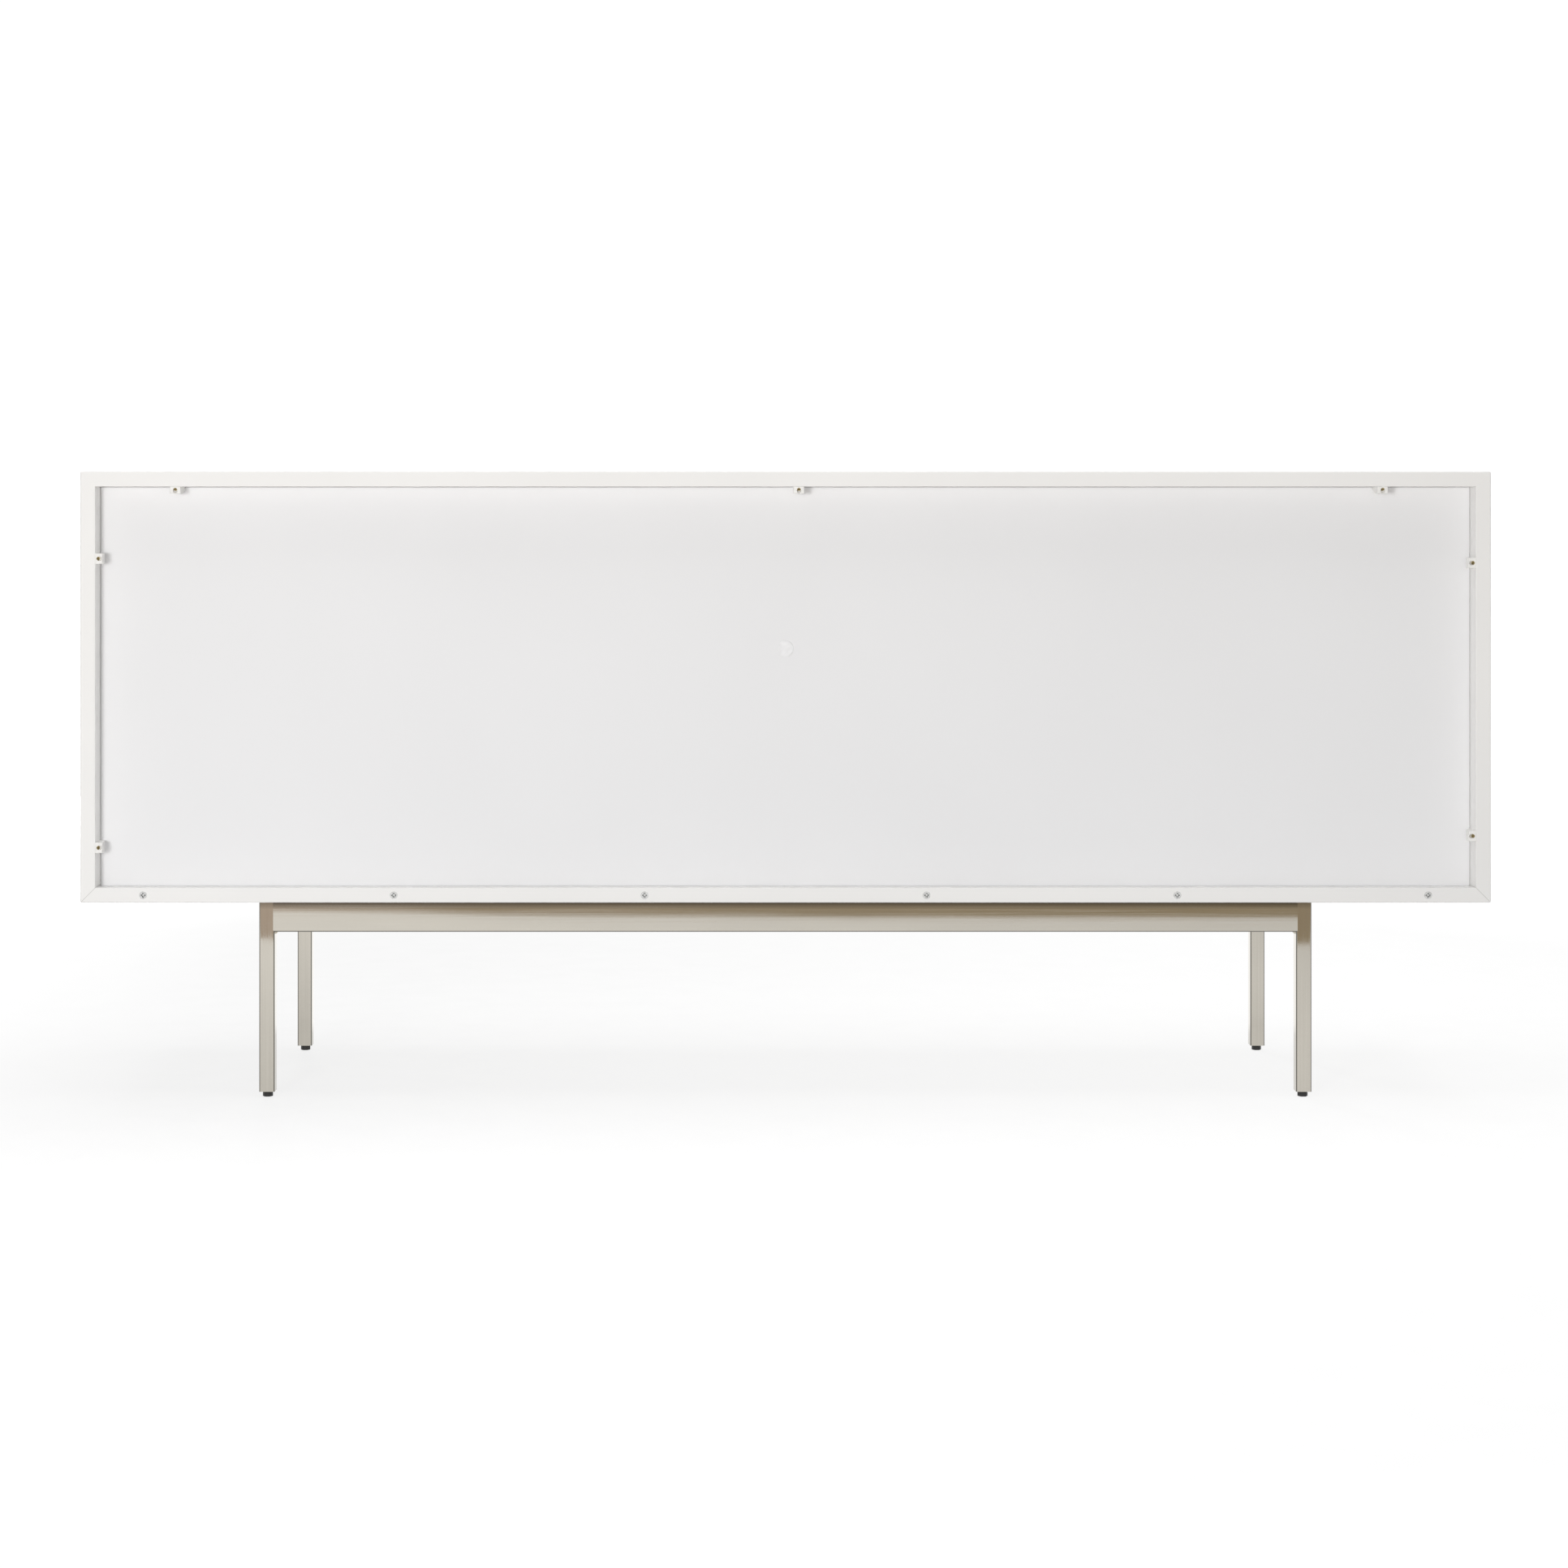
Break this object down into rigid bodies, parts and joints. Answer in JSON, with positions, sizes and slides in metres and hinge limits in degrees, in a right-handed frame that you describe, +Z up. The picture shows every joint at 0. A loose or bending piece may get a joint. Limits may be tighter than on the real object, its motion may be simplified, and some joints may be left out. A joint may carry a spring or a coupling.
{
  "type": "tv stand with doors",
  "caption": "Low white lacquered media cabinet with push-to-open doors over shelved bays, on a brushed steel leg frame with levelling feet.",
  "frame": {"origin": "on the floor, under the middle of the cabinet's width and depth", "axes": "+X along the width, to the right as seen from the doors; +Y towards the back; +Z up; doors face -Y"},
  "size_m": [1.8, 0.43, 0.802],
  "materials": {
    "white_lacquer": "satin white lacquer on MDF",
    "white_board": "white faced board",
    "white_plastic": "moulded white",
    "grey_plastic": "moulded light grey",
    "black_plastic": "moulded black",
    "brushed_steel": "brushed stainless",
    "bright_steel": "bright steel",
    "zinc_steel": "zinc plated",
    "yellow_zinc": "yellow zinc plated",
    "brass": "turned brass",
    "beech": "raw beech"
  },
  "bodies": {
    "case": {"top_panel": "white_lacquer", "bottom_panel": "white_lacquer", "left_side_panel": "white_lacquer", "right_side_panel": "white_lacquer", "bottom_rear_rail": "white_lacquer", "centre_divider": "white_board", "left_shelf": "white_board", "right_shelf": "white_board", "back_panel": "white_board", "top_panel_clips": "white_plastic", "side_panel_clips": "white_plastic", "screw_cover_cap": "white_plastic", "clip_screws": "yellow_zinc", "rear_rail_screws": "zinc_steel", "back_panel_screw": "zinc_steel", "frame_screws": "zinc_steel", "latch_screws": "zinc_steel", "pivot_plate_screws": "zinc_steel", "case_pivot_plates": "bright_steel", "pivot_pins": "bright_steel", "shelf_pins": "bright_steel", "leg_inserts": "bright_steel", "pivot_washers": "brass", "mitre_dowels": "beech", "divider_dowels": "beech", "frame_rear_rail": "brushed_steel", "frame_front_rail": "brushed_steel", "frame_left_rail": "brushed_steel", "frame_right_rail": "brushed_steel", "frame_tabs": "brushed_steel", "frame_welds": "brushed_steel", "latch_housings": "grey_plastic", "front_left_leg": "brushed_steel", "front_right_leg": "brushed_steel", "rear_left_leg": "brushed_steel", "rear_right_leg": "brushed_steel"},
    "left_outer_door": {"left_outer_door": "white_lacquer", "left_outer_door_leaves": "bright_steel", "left_outer_door_leaf_screws": "zinc_steel", "left_outer_door_strike": "bright_steel"},
    "left_inner_door": {"left_inner_door": "white_lacquer", "left_inner_door_leaves": "bright_steel", "left_inner_door_leaf_screws": "zinc_steel", "left_inner_door_strike": "bright_steel"},
    "right_inner_door": {"right_inner_door": "white_lacquer", "right_inner_door_leaves": "bright_steel", "right_inner_door_leaf_screws": "zinc_steel", "right_inner_door_strike": "bright_steel"},
    "right_outer_door": {"right_outer_door": "white_lacquer", "right_outer_door_leaves": "bright_steel", "right_outer_door_leaf_screws": "zinc_steel", "right_outer_door_strike": "bright_steel"},
    "left_outer_plunger_body": {"left_outer_plunger": "grey_plastic"},
    "left_inner_plunger_body": {"left_inner_plunger": "grey_plastic"},
    "right_inner_plunger_body": {"right_inner_plunger": "grey_plastic"},
    "right_outer_plunger_body": {"right_outer_plunger": "grey_plastic"},
    "front_left_foot_body": {"front_left_foot": "black_plastic"},
    "front_right_foot_body": {"front_right_foot": "black_plastic"},
    "rear_left_foot_body": {"rear_left_foot": "black_plastic"},
    "rear_right_foot_body": {"rear_right_foot": "black_plastic"}
  },
  "joints": [
    {"name": "left_outer_door_hinge", "type": "hinge", "parent": "case", "child": "left_outer_door", "pos_m": [-0.8625, -0.2085, 0.5], "axis": [0, 0, -1], "range_deg": [0, 105]},
    {"name": "left_inner_door_hinge", "type": "hinge", "parent": "case", "child": "left_inner_door", "pos_m": [-0.0155, -0.2085, 0.5], "axis": [0, 0, 1], "range_deg": [0, 90]},
    {"name": "right_inner_door_hinge", "type": "hinge", "parent": "case", "child": "right_inner_door", "pos_m": [0.0155, -0.2085, 0.5], "axis": [0, 0, -1], "range_deg": [0, 90]},
    {"name": "right_outer_door_hinge", "type": "hinge", "parent": "case", "child": "right_outer_door", "pos_m": [0.8625, -0.2085, 0.5], "axis": [0, 0, 1], "range_deg": [0, 105]},
    {"name": "left_outer_plunger_slide", "type": "slide", "parent": "case", "child": "left_outer_plunger_body", "axis": [0, 1, 0], "range_m": [0, 0.003], "stiffness_N_per_m": 500},
    {"name": "left_inner_plunger_slide", "type": "slide", "parent": "case", "child": "left_inner_plunger_body", "axis": [0, 1, 0], "range_m": [0, 0.003], "stiffness_N_per_m": 500},
    {"name": "right_inner_plunger_slide", "type": "slide", "parent": "case", "child": "right_inner_plunger_body", "axis": [0, 1, 0], "range_m": [0, 0.003], "stiffness_N_per_m": 500},
    {"name": "right_outer_plunger_slide", "type": "slide", "parent": "case", "child": "right_outer_plunger_body", "axis": [0, 1, 0], "range_m": [0, 0.003], "stiffness_N_per_m": 500},
    {"name": "front_left_foot_slide", "type": "slide", "parent": "case", "child": "front_left_foot_body", "axis": [0, 0, -1], "range_m": [0, 0.01]},
    {"name": "front_right_foot_slide", "type": "slide", "parent": "case", "child": "front_right_foot_body", "axis": [0, 0, -1], "range_m": [0, 0.01]},
    {"name": "rear_left_foot_slide", "type": "slide", "parent": "case", "child": "rear_left_foot_body", "axis": [0, 0, -1], "range_m": [0, 0.01]},
    {"name": "rear_right_foot_slide", "type": "slide", "parent": "case", "child": "rear_right_foot_body", "axis": [0, 0, -1], "range_m": [0, 0.01]}
  ]
}
